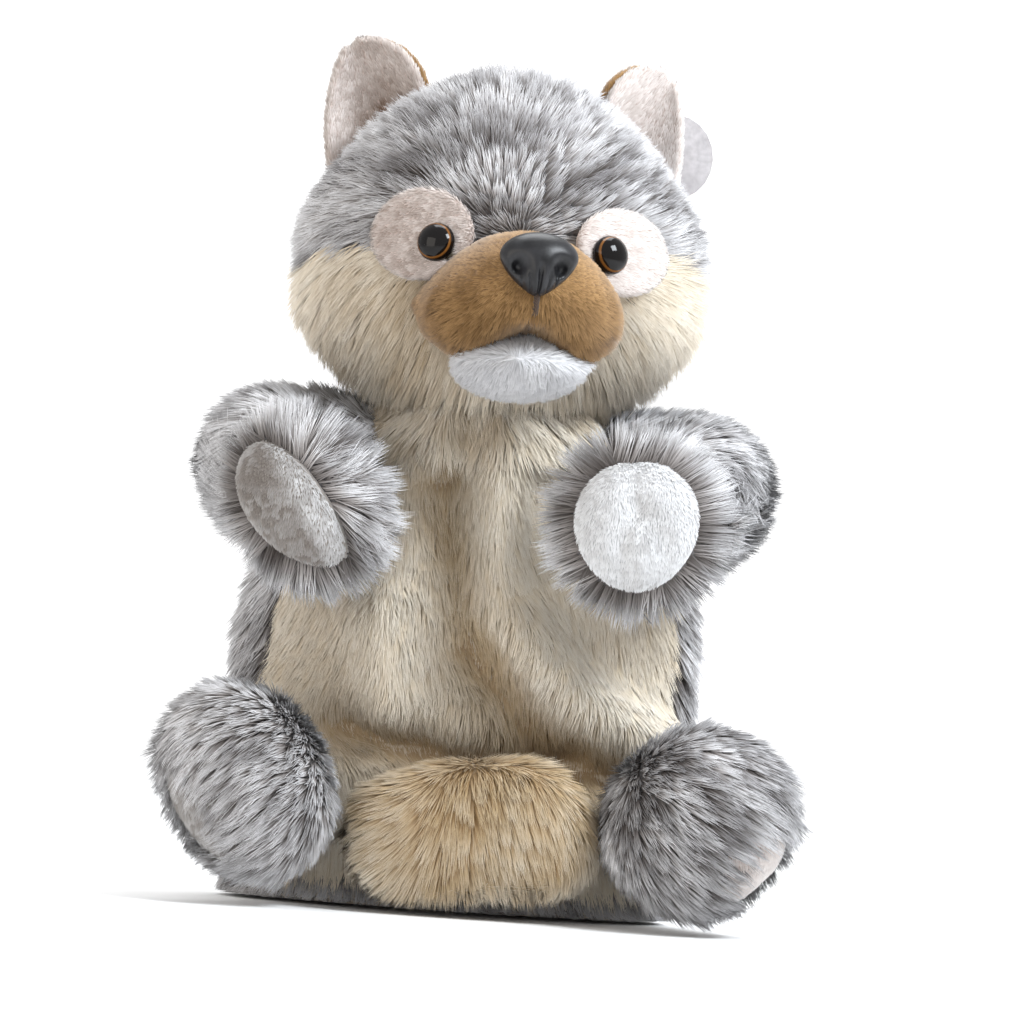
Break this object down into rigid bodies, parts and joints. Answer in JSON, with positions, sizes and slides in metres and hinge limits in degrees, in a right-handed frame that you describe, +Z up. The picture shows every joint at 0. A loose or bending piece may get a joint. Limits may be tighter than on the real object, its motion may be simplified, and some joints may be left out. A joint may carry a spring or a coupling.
{
  "type": "plush hand puppet",
  "caption": "Plush wolf hand puppet: a furry glove body open at the hem, a stuffed head turned by a finger, finger-sleeve arms, stuffed feet and a blank swing tag.",
  "frame": {"origin": "middle of the puppet's box, on the surface that its hem stands on", "axes": "+Z up along the body, -Y the way the puppet faces, +X towards the right as seen from the front"},
  "size_m": [0.1992, 0.1468, 0.2813],
  "materials": {
    "frosted_fur": "long-pile plush, charcoal at the root and white at the tip",
    "cream_fur": "long-pile plush, brushed",
    "golden_cream_fur": "long-pile plush, golden brown at the root and cream at the tip",
    "tan_plush": "short-pile plush",
    "white_plush": "short-pile plush",
    "pink_white_plush": "short-pile plush",
    "pad_plush": "very short velour pile",
    "sole_plush": "very short velour pile",
    "thin_cloth": "thin knitted cloth",
    "polyester_fill": "loose fibre filling",
    "black_nose_plastic": "satin moulded plastic",
    "eye_plastic": "polished plastic, dark amber iris under a black pupil",
    "washer_plastic": "moulded",
    "clear_nylon": "drawn nylon",
    "white_card": "coated card, unprinted",
    "brown_thread": "twisted thread"
  },
  "bodies": {
    "glove": {"belly_panel": "cream_fur", "back_panel": "frosted_fur", "front_hem_roll": "golden_cream_fur"},
    "neck": {"neck_sleeve": "frosted_fur"},
    "neck_seam": {"neck_seam_ring": "thin_cloth"},
    "head": {"head_finger_tube": "thin_cloth", "head_stuffing": "polyester_fill", "crown_panel": "frosted_fur", "back_of_head": "frosted_fur", "cheek_left": "cream_fur", "cheek_right": "cream_fur", "muzzle": "tan_plush", "muzzle_stuffing": "polyester_fill", "chin": "white_plush", "nose": "black_nose_plastic", "mouth_stitch": "brown_thread", "tag_fastener": "clear_nylon", "eye_left": "eye_plastic", "eye_washer_left": "washer_plastic", "eye_patch_left": "pink_white_plush", "ear_inner_left": "pink_white_plush", "ear_back_left": "tan_plush", "eye_right": "eye_plastic", "eye_washer_right": "washer_plastic", "eye_patch_right": "pink_white_plush", "ear_inner_right": "pink_white_plush", "ear_back_right": "tan_plush"},
    "tag": {"swing_tag": "white_card"},
    "arm_left": {"arm_sleeve_left": "frosted_fur"},
    "paw_left": {"paw_fur_left": "frosted_fur", "paw_pad_left": "pad_plush"},
    "leg_left": {"leg_fur_left": "frosted_fur", "sole_left": "sole_plush", "leg_stuffing_left": "polyester_fill"},
    "arm_right": {"arm_sleeve_right": "frosted_fur"},
    "paw_right": {"paw_fur_right": "frosted_fur", "paw_pad_right": "pad_plush"},
    "leg_right": {"leg_fur_right": "frosted_fur", "sole_right": "sole_plush", "leg_stuffing_right": "polyester_fill"}
  },
  "joints": [
    {"name": "neck_turn", "type": "hinge", "parent": "glove", "child": "neck", "pos_m": [-0.00368, 0.0311, 0.165], "axis": [0, 0, 1], "range_deg": [-25, 25]},
    {"name": "head_nod", "type": "hinge", "parent": "neck", "child": "neck_seam", "pos_m": [-0.00368, 0.0311, 0.165], "axis": [1, 0, 0], "range_deg": [-20, 2]},
    {"name": "head_tilt", "type": "hinge", "parent": "neck_seam", "child": "head", "pos_m": [-0.00368, 0.0311, 0.165], "axis": [0, 1, 0], "range_deg": [-8, 8]},
    {"name": "tag_swing", "type": "hinge", "parent": "head", "child": "tag", "pos_m": [0.05133, 0.068, 0.26092], "axis": [-0.1383, 0.9839, -0.1132], "range_deg": [-25, 25]},
    {"name": "arm_left_spread", "type": "hinge", "parent": "glove", "child": "arm_left", "pos_m": [-0.05968, 0.0271, 0.142], "axis": [0, 0, 1], "range_deg": [-60, 5]},
    {"name": "arm_right_spread", "type": "hinge", "parent": "glove", "child": "arm_right", "pos_m": [0.05232, 0.0271, 0.142], "axis": [0, 0, 1], "range_deg": [-5, 60]},
    {"name": "paw_left_wave", "type": "hinge", "parent": "arm_left", "child": "paw_left", "pos_m": [-0.06368, -0.0129, 0.134], "axis": [1, 0, 0], "range_deg": [-9, 18]},
    {"name": "paw_right_wave", "type": "hinge", "parent": "arm_right", "child": "paw_right", "pos_m": [0.05632, -0.0129, 0.134], "axis": [1, 0, 0], "range_deg": [-9, 18]},
    {"name": "leg_left_swing", "type": "hinge", "parent": "glove", "child": "leg_left", "pos_m": [-0.06168, 0.0031, 0.034], "axis": [1, 0, 0], "range_deg": [-20, 15]},
    {"name": "leg_right_swing", "type": "hinge", "parent": "glove", "child": "leg_right", "pos_m": [0.05632, 0.0051, 0.034], "axis": [1, 0, 0], "range_deg": [-20, 15]}
  ]
}
